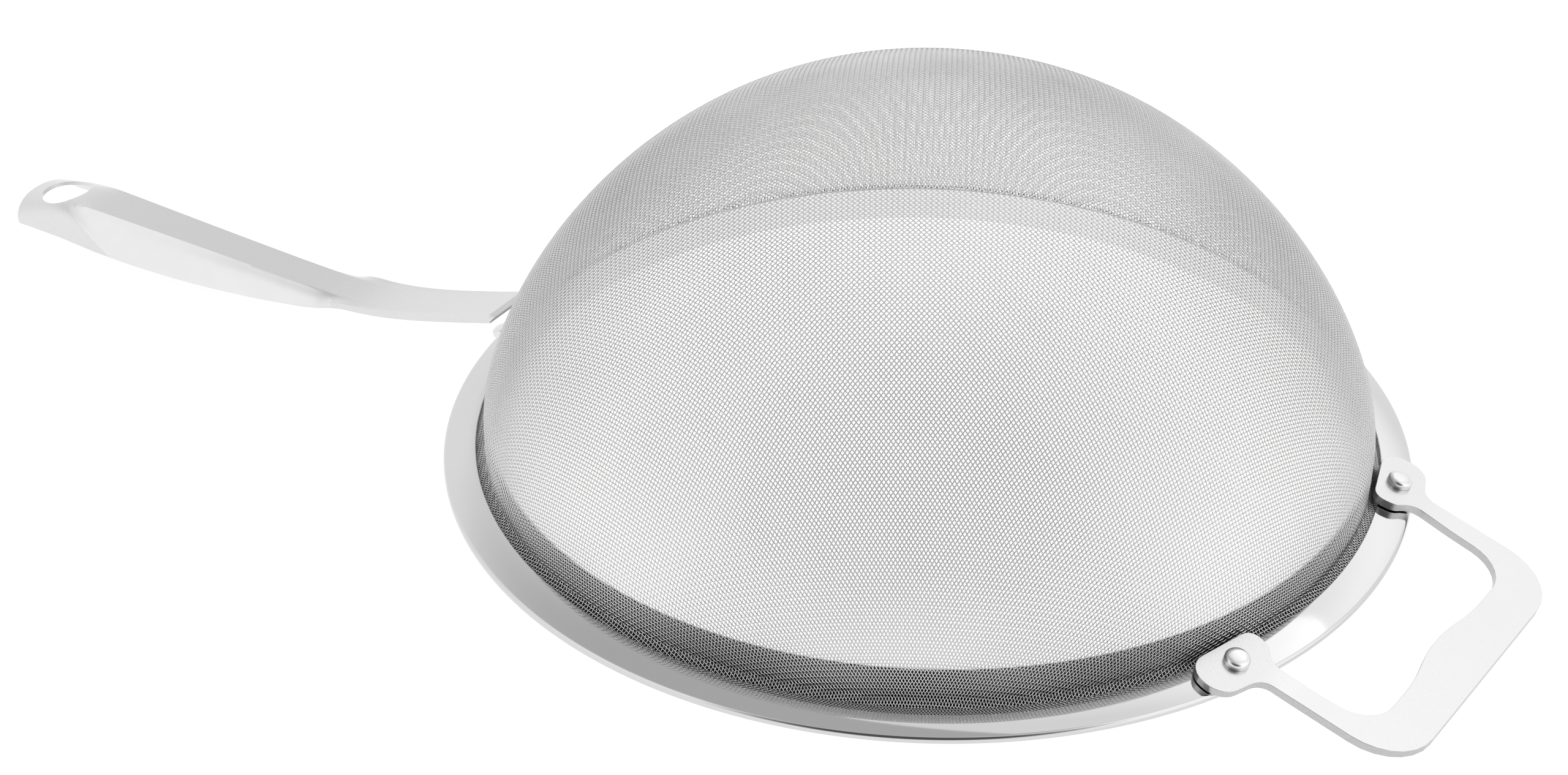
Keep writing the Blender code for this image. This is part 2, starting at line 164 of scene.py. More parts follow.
GROUPS = {"cloth": StrainerCloth, "rim": StrainerRim, "handles": StrainerHandles,
          "finish": StrainerFinish, "studio": StrainerStudio}


def settings(name):
    return getattr(bpy.context.scene, "strainer_" + name)


# ---------------------------------------------------------------- modelling helpers

def deselect():
    if bpy.context.object and bpy.context.object.mode != "OBJECT":
        bpy.ops.object.mode_set(mode="OBJECT")
    bpy.ops.object.select_all(action="DESELECT")


def traced(name, points, closed=False):
    """An edge chain drawn by extruding one vertex from point to point; stays in edit mode."""
    deselect()
    bpy.ops.mesh.primitive_plane_add(size=MM, location=points[0])
    piece = bpy.context.object
    piece.name = piece.data.name = name
    bpy.ops.object.transform_apply(location=True, rotation=False, scale=False)
    bpy.ops.object.mode_set(mode="EDIT")
    bpy.ops.mesh.select_all(action="SELECT")
    bpy.ops.mesh.merge(type="CENTER")
    for here, there in zip(points, points[1:]):
        bpy.ops.mesh.extrude_region_move(TRANSFORM_OT_translate={"value": there - here})
    if closed:
        pick_vertices(piece, lambda v, last: v.index in (0, last))
        bpy.ops.mesh.edge_face_add()
    return piece


def pick_vertices(piece, wanted):
    """Selects the vertices that wanted(vertex, last index) accepts, in edit mode."""
    bpy.ops.mesh.select_mode(type="VERT")
    bpy.ops.mesh.select_all(action="DESELECT")
    bm = bmesh.from_edit_mesh(piece.data)
    bm.verts.index_update()
    last = len(bm.verts) - 1
    for v in bm.verts:
        v.select = wanted(v, last)
    bm.select_flush(True)
    bmesh.update_edit_mesh(piece.data)


def spun(name, points, centre, axis, steps, closed):
    """A profile drawn, then spun once round an axis and closed."""
    piece = traced(name, points, closed)
    bpy.ops.mesh.select_all(action="SELECT")
    bpy.ops.mesh.spin(steps=steps, angle=2.0 * math.pi, center=centre, axis=axis, use_auto_merge=True)
    bpy.ops.mesh.select_all(action="SELECT")
    bpy.ops.mesh.remove_doubles(threshold=0.002 * MM)
    bpy.ops.mesh.normals_make_consistent(inside=False)
    bpy.ops.object.mode_set(mode="OBJECT")
    return piece


def modified(piece, kind, **values):
    """Adds a modifier with its values and applies it."""
    deselect()
    piece.select_set(True)
    bpy.context.view_layer.objects.active = piece
    added = piece.modifiers.new(kind.title(), kind)
    for key, value in values.items():
        setattr(added, key, value)
    bpy.ops.object.modifier_apply(modifier=added.name)


def drilled(piece, centre, axis, radius, depth=8.0 * MM, sides=48):
    """Cuts a round hole with a cylinder, then removes the cylinder."""
    deselect()
    turn = UPRIGHT.rotation_difference(axis).to_euler()
    bpy.ops.mesh.primitive_cylinder_add(vertices=sides, radius=radius, depth=depth, location=centre,
                                        rotation=turn)
    drill = bpy.context.object
    modified(piece, "BOOLEAN", operation="DIFFERENCE", object=drill)
    bpy.data.objects.remove(drill, do_unlink=True)


def rounded_edges(piece, width, angle=28.0, segments=2):
    modified(piece, "BEVEL", width=width, segments=segments, limit_method="ANGLE",
             angle_limit=math.radians(angle), harden_normals=False)


def shaded(piece, *materials, angle=35.0):
    """Gives the piece its materials and smooth shading that keeps the crisp edges."""
    deselect()
    piece.select_set(True)
    bpy.context.view_layer.objects.active = piece
    bpy.ops.object.shade_smooth_by_angle(angle=math.radians(angle))
    for made in materials:
        piece.data.materials.append(made)


def placed(piece, node):
    """The piece rides on the one body and stands for its CAD node, which it hides."""
    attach(piece, "root")
    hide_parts(node)


def filleted(corners, steps=7):
    """Points of an outline from (x, y, radius) corners; radius 0 keeps a sharp corner."""
    points = []
    for i, (x, y, radius) in enumerate(corners):
        here = Vector((x, y))
        if radius <= 0.0:
            points.append(here)
            continue
        before = (Vector(corners[i - 1][:2]) - here).normalized()
        after = (Vector(corners[(i + 1) % len(corners)][:2]) - here).normalized()
        half = before.angle(after) / 2.0
        centre = here + (before + after).normalized() * (radius / math.sin(half))
        start = here + before * (radius / math.tan(half)) - centre
        end = here + after * (radius / math.tan(half)) - centre
        sweep = start.angle_signed(end)
        points += [centre + Matrix.Rotation(-sweep * k / steps, 2) @ start for k in range(steps + 1)]
    return points


def smooth_step(t):
    t = min(max(t, 0.0), 1.0)
    return t * t * (3.0 - 2.0 * t)


def flange_height(radius):
    """Top of the sloping flange at a radius, above HOME."""
    return FLANGE_TOP - (radius - settings("rim").inner) * FLANGE_SLOPE


def flange_seat(angle):
    """A rivet's place on the flange and the flange's normal there; angle from +X."""
    outward = Vector((math.cos(angle), math.sin(angle), 0.0))
    circle = settings("rim").rivet_circle
    place = HOME + outward * circle + UPRIGHT * flange_height(circle)
    return place, (outward * FLANGE_SLOPE + UPRIGHT).normalized()


# ---------------------------------------------------------------- material helpers

def linear(hex_colour):
    """An sRGB hex colour as linear RGBA."""
    levels = [int(hex_colour[k:k + 2], 16) / 255.0 for k in (1, 3, 5)]
    return (*(v / 12.92 if v <= 0.04045 else ((v + 0.055) / 1.055) ** 2.4 for v in levels), 1.0)


def node(tree, kind, values=None, links=None, **settings_):
    """Adds a node, sets its properties and input values, and links its inputs from other sockets."""
    made = tree.nodes.new(kind)
    for key, value in settings_.items():
        setattr(made, key, value)
    for key, value in (values or {}).items():
        made.inputs[key].default_value = value
    for key, socket in (links or {}).items():
        tree.links.new(socket, made.inputs[key])
    return made


def started(name, colour, roughness, metallic=1.0):
    """A new material with its Principled shader and an Object coordinate node."""
    made = bpy.data.materials.new(name)
    made.use_nodes = True
    tree = made.node_tree
    shader = tree.nodes["Principled BSDF"]
    shader.inputs["Base Color"].default_value = linear(colour)
    shader.inputs["Metallic"].default_value = metallic
    shader.inputs["Roughness"].default_value = roughness
    place = node(tree, "ShaderNodeTexCoord")
    return made, tree, shader, place.outputs["Object"]


def varied_colour(tree, shader, colour, factor, spread):
    """Darkens the base colour by up to spread where factor is high."""
    dark = [v * (1.0 - spread) for v in linear(colour)[:3]] + [1.0]
    mix = node(tree, "ShaderNodeMix", {6: linear(colour), 7: dark}, {0: factor}, data_type="RGBA")
    tree.links.new(mix.outputs[2], shader.inputs["Base Color"])


def ranged(tree, factor, low, high):
    """Maps a 0 to 1 factor on to low to high."""
    made = node(tree, "ShaderNodeMapRange", {"To Min": low, "To Max": high}, {"Value": factor})
    return made.outputs["Result"]


def polished_spun_stainless():
    """Rim sheet spun and buffed: mirror-like, with faint rings from the buffing wheel."""
    colour = settings("finish").spun
    made, tree, shader, place = started("polished_spun_stainless", colour, 0.06)
    centred = node(tree, "ShaderNodeVectorMath", {1: (-HOME.x, -HOME.y, 0.0)}, {0: place}, operation="ADD")
    flat = node(tree, "ShaderNodeVectorMath", {1: (1.0, 1.0, 0.0)}, {0: centred.outputs[0]},
                operation="MULTIPLY")
    radius = node(tree, "ShaderNodeVectorMath", links={0: flat.outputs[0]}, operation="LENGTH")
    ring_spacing = 0.35 * MM               # one buffing ring and the next
    rings = node(tree, "ShaderNodeTexNoise", {"Scale": 1.0 / ring_spacing, "Detail": 3.0},
                 {"W": radius.outputs["Value"]}, noise_dimensions="1D")
    cloud = node(tree, "ShaderNodeTexNoise", {"Scale": 1.0 / (22.0 * MM), "Detail": 4.0}, {"Vector": place})
    rough = node(tree, "ShaderNodeMath", links={0: ranged(tree, rings.outputs["Fac"], 0.04, 0.08),
                                                1: ranged(tree, cloud.outputs["Fac"], -0.02, 0.04)},
                 operation="ADD")
    tree.links.new(rough.outputs[0], shader.inputs["Roughness"])
    varied_colour(tree, shader, colour, cloud.outputs["Fac"], 0.06)
    bump = node(tree, "ShaderNodeBump", {"Strength": 0.03, "Distance": 0.01 * MM},
                {"Height": rings.outputs["Fac"]})
    tree.links.new(bump.outputs["Normal"], shader.inputs["Normal"])
    return made


def brushed_stainless(name, turn):
    """Pressed sheet brushed with a belt: long fine scratches, a soft stretched highlight."""
    colour = settings("finish").brushed
    made, tree, shader, place = started(name, colour, 0.27)
    grain = (30.0 * MM, 0.16 * MM, 0.16 * MM)           # a scratch's length, width and depth
    turned = node(tree, "ShaderNodeMapping", {"Rotation": (0.0, 0.0, turn), "Scale": grain},
                  {"Vector": place}, vector_type="TEXTURE")
    scratch = node(tree, "ShaderNodeTexNoise", {"Scale": 1.0, "Detail": 5.0, "Roughness": 0.65},
                   {"Vector": turned.outputs[0]})
    cloud = node(tree, "ShaderNodeTexNoise", {"Scale": 1.0 / (16.0 * MM), "Detail": 3.0}, {"Vector": place})
    rough = node(tree, "ShaderNodeMath",
                 links={0: ranged(tree, scratch.outputs["Fac"], 0.18, 0.36),
                        1: ranged(tree, cloud.outputs["Fac"], -0.03, 0.03)}, operation="ADD")
    tree.links.new(rough.outputs[0], shader.inputs["Roughness"])
    varied_colour(tree, shader, colour, scratch.outputs["Fac"], 0.10)
    bump = node(tree, "ShaderNodeBump", {"Strength": 0.05, "Distance": 0.02 * MM},
                {"Height": scratch.outputs["Fac"]})
    tree.links.new(bump.outputs["Normal"], shader.inputs["Normal"])
    return made


def buffed_stainless():
    """Side panels and rivets buffed by hand: bright, with slow soft waves from the buffing."""
    colour = settings("finish").polished
    made, tree, shader, place = started("buffed_stainless", colour, 0.22)
    wave = node(tree, "ShaderNodeTexNoise", {"Scale": 1.0 / (9.0 * MM), "Detail": 2.0}, {"Vector": place})
    hair = node(tree, "ShaderNodeTexNoise", {"Scale": 1.0 / (0.25 * MM), "Detail": 4.0}, {"Vector": place})
    rough = node(tree, "ShaderNodeMath", links={0: ranged(tree, wave.outputs["Fac"], 0.16, 0.28),
                                                1: ranged(tree, hair.outputs["Fac"], -0.02, 0.03)},
                 operation="ADD")
    tree.links.new(rough.outputs[0], shader.inputs["Roughness"])
    varied_colour(tree, shader, colour, wave.outputs["Fac"], 0.05)
    bump = node(tree, "ShaderNodeBump", {"Strength": 0.12, "Distance": 0.10 * MM},
                {"Height": wave.outputs["Fac"]})
    tree.links.new(bump.outputs["Normal"], shader.inputs["Normal"])
    return made


def drawn_steel_wire():
    """Bright drawn wire: grey metal whose sheen changes a little from stretch to stretch."""
    colour = settings("finish").wire
    made, tree, shader, place = started("drawn_steel_wire", colour, 0.26)
    patch = node(tree, "ShaderNodeTexNoise", {"Scale": 1.0 / (14.0 * MM), "Detail": 3.0}, {"Vector": place})
    speck = node(tree, "ShaderNodeTexNoise", {"Scale": 1.0 / (0.5 * MM), "Detail": 2.0}, {"Vector": place})
    tree.links.new(ranged(tree, speck.outputs["Fac"], 0.16, 0.30), shader.inputs["Roughness"])
    both = node(tree, "ShaderNodeMath", links={0: patch.outputs["Fac"], 1: speck.outputs["Fac"]},
                operation="MULTIPLY")
    varied_colour(tree, shader, colour, both.outputs[0], 0.22)
    bump = node(tree, "ShaderNodeBump", {"Strength": 0.15, "Distance": 0.02 * MM},
                {"Height": speck.outputs["Fac"]})
    tree.links.new(bump.outputs["Normal"], shader.inputs["Normal"])
    return made


def painted_shade_steel():
    """The collar's outer face, painted dark grey as painted shade and a painted dark reflection: a darker
    ground behind the wires, where there is only shade.
    """
    colour = settings("finish").painted_shade
    made, tree, shader, place = started("painted_shade_steel", colour, 0.35)
    cloud = node(tree, "ShaderNodeTexNoise", {"Scale": 1.0 / (6.0 * MM), "Detail": 4.0}, {"Vector": place})
    tree.links.new(ranged(tree, cloud.outputs["Fac"], 0.22, 0.42), shader.inputs["Roughness"])
    varied_colour(tree, shader, colour, cloud.outputs["Fac"], 0.5)
    return made


def dull_edge_and_painted_shade():
    """The cut edges of the handles' sheet, tumbled dull and also painted greyer as painted shade: a greyer
    rim round the bright faces.
    """
    colour = settings("finish").edge
    made, tree, shader, place = started("dull_edge_and_painted_shade", colour, 0.30)
    grain = node(tree, "ShaderNodeTexNoise", {"Scale": 1.0 / (0.5 * MM), "Detail": 4.0}, {"Vector": place})
    tree.links.new(ranged(tree, grain.outputs["Fac"], 0.22, 0.40), shader.inputs["Roughness"])
    varied_colour(tree, shader, colour, grain.outputs["Fac"], 0.25)
    return made


def painted_bright_collar():
    """The collar's inner face, painted near white: a painted reflection of the white floor seen through the
    cloth.
    """
    colour = settings("finish").inside
    made, tree, shader, place = started("painted_bright_collar", colour, 0.38)
    grain = node(tree, "ShaderNodeTexNoise", {"Scale": 1.0 / (1.2 * MM), "Detail": 4.0}, {"Vector": place})
    tree.links.new(ranged(tree, grain.outputs["Fac"], 0.32, 0.46), shader.inputs["Roughness"])
    varied_colour(tree, shader, colour, grain.outputs["Fac"], 0.05)
    return made


def studio_floor():
    """Matt white paper, lit so evenly that it holds almost no shadow."""
    colour = settings("finish").floor
    made, tree, shader, place = started("studio_floor", "#7C7C7C", 0.9, metallic=0.0)
    tooth = node(tree, "ShaderNodeTexNoise", {"Scale": 1.0 / (0.8 * MM), "Detail": 2.0}, {"Vector": place})
    tree.links.new(ranged(tree, tooth.outputs["Fac"], 0.85, 0.95), shader.inputs["Roughness"])
    shader.inputs["Emission Color"].default_value = linear(colour)
    shader.inputs["Emission Strength"].default_value = 0.88
    return made


# ---------------------------------------------------------------- wire cloth

def bowl_radius(height):
    """Outside of the cloth at a height above HOME: upright on the collar, then the dome."""
    cloth = settings("cloth")
    flatten, fullness = 1.5, 2.15          # 2 and 2 would be an ellipse
    rise = np.clip((height - cloth.collar) / (cloth.height - cloth.collar), 0.0, 1.0)
    return cloth.radius * (1.0 - rise ** flatten) ** (1.0 / fullness)


def cloth_section():
    """Arc length, radius and height of the cloth's middle, from the pole down and out to the hem."""
    cloth, rim = settings("cloth"), settings("rim")
    turn = np.linspace(0.5 * math.pi, 0.0, 3000)
    height = cloth.collar + (cloth.height - cloth.collar) * np.sin(turn) ** 1.25
    radius = bowl_radius(height) * (cloth.radius - cloth.wire) / cloth.radius
    height = height - cloth.wire * np.sin(turn)
    radius[0] = 0.0
    under = rim.sheet / math.cos(math.atan(FLANGE_SLOPE)) + 1.15 * cloth.wire
    bend, lean = 1.2 * MM, math.atan(FLANGE_SLOPE)
    foot_radius = radius[-1] + bend * (1.0 - math.sin(lean))
    foot_height = flange_height(foot_radius) - under
    middle = foot_height + bend * math.cos(lean)
    arc = np.linspace(0.0, 0.5 * math.pi - lean, 40)
    hem = np.linspace(foot_radius, HEM_RADIUS, 30)
    radius = np.concatenate([radius, radius[-1] + bend * (1.0 - np.cos(arc)), hem[1:]])
    height = np.concatenate([height, middle - bend * np.sin(arc),
                             [flange_height(r) - under for r in hem[1:]]])
    length = np.concatenate([[0.0], np.cumsum(np.hypot(np.diff(radius), np.diff(height)))])
    return length, radius, height


def quarter_net(section, pitch):
    """Arc length and azimuth of each crossing in one quarter, every cell's sides one pitch long.

    The two first wires run straight down from the pole; each further crossing lies one pitch
    from the two before it, which is how square cloth shears when it is pressed into a bowl.
    """
    length, radius, height = section
    slope_r, slope_z = np.gradient(radius, length), np.gradient(height, length)
    count = int(length[-1] / pitch) + 1
    s = np.full((count, count), np.nan)
    a = np.full((count, count), np.nan)
    s[:, 0] = s[0, :] = np.arange(count) * pitch
    a[:, 0], a[0, :] = 0.0, 0.5 * math.pi

    def point(s_, a_):
        r = np.interp(s_, length, radius)
        return np.stack([r * np.cos(a_), r * np.sin(a_), np.interp(s_, length, height)], -1)

    for diagonal in range(2, 2 * count - 1):
        i = np.arange(max(1, diagonal - count + 1), min(diagonal, count))
        j = diagonal - i
        known = ~(np.isnan(s[i - 1, j]) | np.isnan(s[i, j - 1]))
        i, j = i[known], j[known]
        if not len(i):
            break
        first, second = point(s[i - 1, j], a[i - 1, j]), point(s[i, j - 1], a[i, j - 1])
        before = point(s[i - 1, j - 1], np.nan_to_num(a[i - 1, j - 1]))
        guess = first + second - before
        s_, a_ = s[i - 1, j] + s[i, j - 1] - s[i - 1, j - 1], np.arctan2(guess[:, 1], guess[:, 0])
        for _ in range(8):
            r = np.interp(s_, length, radius)
            along = np.interp(s_, length, slope_r)
            to_s = np.stack([along * np.cos(a_), along * np.sin(a_), np.interp(s_, length, slope_z)], -1)
            to_a = np.stack([-r * np.sin(a_), r * np.cos(a_), np.zeros_like(r)], -1)
            here = point(s_, a_)
            one, two = here - first, here - second
            miss_one, miss_two = (one ** 2).sum(-1) - pitch ** 2, (two ** 2).sum(-1) - pitch ** 2
            m11, m12 = 2.0 * (one * to_s).sum(-1), 2.0 * (one * to_a).sum(-1)
            m21, m22 = 2.0 * (two * to_s).sum(-1), 2.0 * (two * to_a).sum(-1)
            area = m11 * m22 - m12 * m21
            s_ = s_ - (miss_one * m22 - miss_two * m12) / area
            a_ = a_ - (miss_two * m11 - miss_one * m21) / area
        inside = s_ <= length[-1]
        s[i[inside], j[inside]], a[i[inside], j[inside]] = s_[inside], a_[inside]
    return s, a


def whole_net():
    """Crossing points and outward normals of the whole cloth, as arrays over warp and weft."""
    cloth = settings("cloth")
    section = cloth_section()
    length, radius, height = section
    s, a = quarter_net(section, cloth.pitch)
    r = np.interp(s, length, radius)
    out_r = -np.interp(s, length, np.gradient(height, length))
    out_z = np.interp(s, length, np.gradient(radius, length))
    quarter = np.stack([r * np.cos(a), r * np.sin(a), np.interp(s, length, height)], -1)
    normal = np.stack([out_r * np.cos(a), out_r * np.sin(a), out_z], -1)
    quarter[np.isnan(s)] = np.nan
    index = np.arange(-len(s) + 1, len(s))
    i, j = np.abs(index)[:, None], np.abs(index)[None, :]
    sign = np.stack(np.broadcast_arrays(np.where(index < 0, -1.0, 1.0)[:, None],
                                        np.where(index < 0, -1.0, 1.0)[None, :], 1.0), -1)
    points, normals = quarter[i, j] * sign, normal[i, j] * sign
    c, d = math.cos(cloth.turn), math.sin(cloth.turn)
    turn = np.array([[c, -d, 0.0], [d, c, 0.0], [0.0, 0.0, 1.0]])
    over = np.where((index[:, None] + index[None, :]) % 2 == 0, 1.0, -1.0)
    return points @ turn.T + np.array(HOME), normals @ turn.T, over


def wire_tube(points, normals, radius):
    """Rings of four corners along one wire, and the faces that join and close them."""
    ahead = np.gradient(points, axis=0)
    ahead /= np.linalg.norm(ahead, axis=1, keepdims=True)
    aside = np.cross(ahead, normals)
    aside /= np.linalg.norm(aside, axis=1, keepdims=True)
    up = np.cross(aside, ahead)
    corners = np.stack([points + radius * up, points + radius * aside,
                        points - radius * up, points - radius * aside], 1).reshape(-1, 3)
    start = 4 * np.arange(len(points) - 1)[:, None]
    k, m = np.arange(4), (np.arange(4) + 1) % 4
    sides = np.stack([start + k, start + m, start + 4 + m, start + 4 + k], -1).reshape(-1, 4)
    last = 4 * (len(points) - 1)
    caps = np.array([[3, 2, 1, 0], [last, last + 1, last + 2, last + 3]])
    return corners, np.concatenate([sides, caps])


def woven_piece(name, wires, radius, material):
    """One mesh of many wires, each its own closed tube."""
    corners, faces, count = [], [], 0
    for points, normals in wires:
        tube, sides = wire_tube(points, normals, radius)
        corners.append(tube)
        faces.append(sides + count)
        count += len(tube)
    corners, faces = np.concatenate(corners), np.concatenate(faces)
    mesh = bpy.data.meshes.new(name)
    mesh.vertices.add(len(corners))
    mesh.vertices.foreach_set("co", corners.ravel())
    mesh.loops.add(faces.size)
    mesh.loops.foreach_set("vertex_index", faces.ravel())
    mesh.polygons.add(len(faces))
    mesh.polygons.foreach_set("loop_start", np.arange(0, faces.size, 4))
    mesh.update(calc_edges=True)
    mesh.shade_smooth()
    mesh.materials.append(material)
    piece = bpy.data.objects.new(name, mesh)
    bpy.context.scene.collection.objects.link(piece)
    return piece


class STRAINER_OT_wire_cloth(bpy.types.Operator):
    """Weave the bowl from crimped wires that pass over and under each other"""
    bl_idname = "strainer.wire_cloth"
    bl_label = "Wire Cloth Bowl"

    def execute(self, context):
        cloth = settings("cloth")
        points, normals, over = whole_net()
        material = drawn_steel_wire()
        shares = 4                          # pieces for each direction, to keep each one light
        for direction, crimp in (("warp", over), ("weft", -over.T)):
            if direction == "weft":
                points, normals = points.transpose(1, 0, 2), normals.transpose(1, 0, 2)
            raised = points + normals * (crimp * cloth.wire * 0.5)[:, :, None]
            wires = []
            for k in range(raised.shape[1]):
                run = ~np.isnan(raised[:, k, 0])
                if run.sum() > 3:
                    wires.append((raised[run, k], normals[run, k]))
            for share in range(shares):
                part = wires[len(wires) * share // shares:len(wires) * (share + 1) // shares]
                piece = woven_piece(f"cloth_{direction}_{share + 1}", part, cloth.wire * 0.53, material)
                placed(piece, "mesh_bowl")
        return {"FINISHED"}


# ---------------------------------------------------------------- rim

def ring_points(profile):
    """(radius, height) pairs as points in the XZ plane through HOME."""
    return [HOME + Vector((r, 0.0, z)) for r, z in profile]


def arc_profile(centre, radius, start, end, steps):
    """(radius, height) points along an arc, from one angle to another in degrees."""
    turns = [math.radians(start + (end - start) * k / steps) for k in range(steps + 1)]
    return [(centre[0] + radius * math.cos(t), centre[1] + radius * math.sin(t)) for t in turns]


class STRAINER_OT_rim_flange(bpy.types.Operator):
    """Spin the sloping flange with its rolled outer edge"""
    bl_idname = "strainer.rim_flange"
    bl_label = "Rim Flange"

    def execute(self, context):
        rim, handles = settings("rim"), settings("handles")
        lean = math.degrees(math.atan(FLANGE_SLOPE))
        under = rim.sheet / math.cos(math.radians(lean))
        edge = 0.3 * MM
        bead_radius = RIM_RADIUS - rim.bead
        bead = (bead_radius, flange_height(bead_radius) - rim.bead / math.cos(math.radians(lean)))
        neck = bead_radius - rim.bead
        profile = arc_profile((rim.inner + edge, flange_height(rim.inner + edge) - edge * 1.05), edge,
                              180.0, 90.0 - lean, 3)
        profile += arc_profile(bead, rim.bead, 90.0 - lean, -175.0, 18)
        profile += [(neck + 0.05 * MM, flange_height(neck) - under),
                    (rim.inner + 0.2 * MM, flange_height(rim.inner + 0.2 * MM) - under),
                    (rim.inner, flange_height(rim.inner) - under + 0.2 * MM)]
        piece = spun("rim_flange_sheet", ring_points(profile), HOME, UPRIGHT, rim.segments, closed=True)
        for angle in (handles.loop_angle, -handles.loop_angle, math.pi - handles.strap_angle,
                      math.pi + handles.strap_angle):
            drilled(piece, *flange_seat(angle), RIVET_HOLE, depth=6.0 * MM)
        shaded(piece, bpy.data.materials["polished_spun_stainless"])
        placed(piece, "rim_flange")
        return {"FINISHED"}


class STRAINER_OT_rim_collar(bpy.types.Operator):
    """Spin the upright band that backs the cloth, with the foot that clamps its hem"""
    bl_idname = "strainer.rim_collar"
    bl_label = "Rim Collar"

    def execute(self, context):
        rim, cloth = settings("rim"), settings("cloth")
        outer = cloth.radius - 2.0 * cloth.wire - 0.35 * MM
        inner = outer - rim.sheet
        drop = rim.sheet / math.cos(math.atan(FLANGE_SLOPE)) + 2.9 * cloth.wire

        def foot(radius):
            return flange_height(radius) - drop

        bend = 0.9 * MM
        lip = 0.25 * MM
        profile = [(inner, foot(outer) - rim.sheet + 0.5 * MM), (inner, cloth.collar - lip),
                   (inner + lip, cloth.collar), (outer - lip, cloth.collar), (outer, cloth.collar - lip)]
        profile += arc_profile((outer + bend, foot(outer + bend) + bend), bend, 180.0, 258.0, 5)
        profile += [(FOOT_RADIUS, foot(FOOT_RADIUS)), (FOOT_RADIUS, foot(FOOT_RADIUS) - rim.sheet),
                    (outer + 0.4 * MM, foot(outer + 0.4 * MM) - rim.sheet)]
        piece = spun("rim_collar_band", ring_points(profile), HOME, UPRIGHT, rim.segments, closed=True)
        shaded(piece, painted_bright_collar(), painted_shade_steel())
        # Outward faces, and the foot's top outside the band, take slot 1, the dark painted shade; the rest
        # keep the pale painted reflection.
        for face in piece.data.polygons:
            flat = Vector((face.center.x - HOME.x, face.center.y - HOME.y, 0.0))
            if flat.normalized().dot(face.normal) > 0.5 or (face.normal.z > 0.5 and flat.length > outer):
                face.material_index = 1
        placed(piece, "rim_collar")
        return {"FINISHED"}


# ---------------------------------------------------------------- rivets

def rivet(name, node_name, angle, seat, material):
    """A pan head rivet through the flange; seat is the height of the ear's face above the flange."""
    rim = settings("rim")
    place, normal = flange_seat(angle)
    aside = normal.orthogonal().normalized()
    wall, crown, shank, tail = 1.3 * MM, 0.75 * MM, 1.7 * MM, 2.1 * MM
    under = -rim.sheet - 0.05 * MM
    edge = 0.22 * MM
    profile = [(0.0, under - 0.8 * MM), (tail - 0.3 * MM, under - 0.8 * MM), (tail, under - 0.5 * MM),
               (tail, under), (shank, under), (shank, seat), (rim.rivet_head, seat),
               (rim.rivet_head, seat + wall - edge)]
    for k in range(1, 10):
        lean = 0.5 * math.pi * k / 10                   # a crown flatter than a dome
        profile.append(((rim.rivet_head - 0.08 * MM) * math.cos(lean) ** 0.55,
                        seat + wall - edge + (crown + edge) * math.sin(lean)))
    profile.append((0.0, seat + wall + crown))
    points = [place + aside * r + normal * h for r, h in profile]
    piece = spun(name, points, place, normal, 48, closed=False)
    shaded(piece, material, angle=40.0)
    placed(piece, node_name)
    return piece


class STRAINER_OT_rivets(bpy.types.Operator):
    """Set the four rivets that hold the handles to the flange"""
    bl_idname = "strainer.rivets"
    bl_label = "Rivets"

    def execute(self, context):
        handles = settings("handles")
        material = bpy.data.materials["buffed_stainless"]
        loop_seat = handles.loop_plate + 0.30 * MM
        place, normal = flange_seat(math.pi - handles.strap_angle)
        on_bracket = bracket_height(place.x - HOME.x, place.y - HOME.y) - (place.z - HOME.z)
        strap_seat = on_bracket * normal.z + 0.05 * MM
        rivet("rivet_loop_left", "helper_rivet_left", handles.loop_angle, loop_seat, material)
        rivet("rivet_loop_right", "helper_rivet_right", -handles.loop_angle, loop_seat, material)
        rivet("rivet_strap_left", "handle_rivet_left", math.pi - handles.strap_angle, strap_seat, material)
        rivet("rivet_strap_right", "handle_rivet_right", math.pi + handles.strap_angle, strap_seat, material)
        return {"FINISHED"}


# ---------------------------------------------------------------- loop handle

LOOP_CORNERS = [                            # (x, y, corner radius) in mm, outer edge then inner edge
    (160.4, 46.3, 15.0), (121.4, 46.4, 5.0), (116.6, 58.2, 6.0), (105.4, 55.8, 5.0),
    (112.2, 34.6, 3.4), (118.0, 36.0, 4.0), (120.6, 40.5, 5.4), (148.6, 39.3, 10.5),
    (148.6, 17.0, 60.0), (146.4, 5.0, 45.0)]
LOOP_FLAT_FROM, LOOP_FLAT_OVER = 120.0 * MM, 14.0 * MM    # where the plate becomes one plane


def loop_height(x, y):
    """Top of the loop handle: flat on the flange at each ear, one sloping plane further out."""
    rim, handles = settings("rim"), settings("handles")
    lift = (handles.loop_plate + 0.25 * MM) / math.cos(math.atan(FLANGE_SLOPE))
    rivet_x = rim.rivet_circle * math.cos(handles.loop_angle)
    rivet_y = rim.rivet_circle * math.sin(handles.loop_angle)
    along = FLANGE_SLOPE * math.cos(handles.loop_angle) * (x - rivet_x)
    sideways = FLANGE_SLOPE * math.sin(handles.loop_angle) * (abs(y) - rivet_y)
    flatten = smooth_step((x - LOOP_FLAT_FROM) / LOOP_FLAT_OVER)
    return flange_height(rim.rivet_circle) + lift - along - sideways * (1.0 - flatten)


def bisected(positions):
    """Cuts the edited piece across X at each position, so that it can be bent there."""
    for x in positions:
        bpy.ops.mesh.select_all(action="SELECT")
        bpy.ops.mesh.bisect(plane_co=HOME + Vector((x, 0.0, 0.0)), plane_no=(1.0, 0.0, 0.0))
    bpy.ops.object.mode_set(mode="OBJECT")


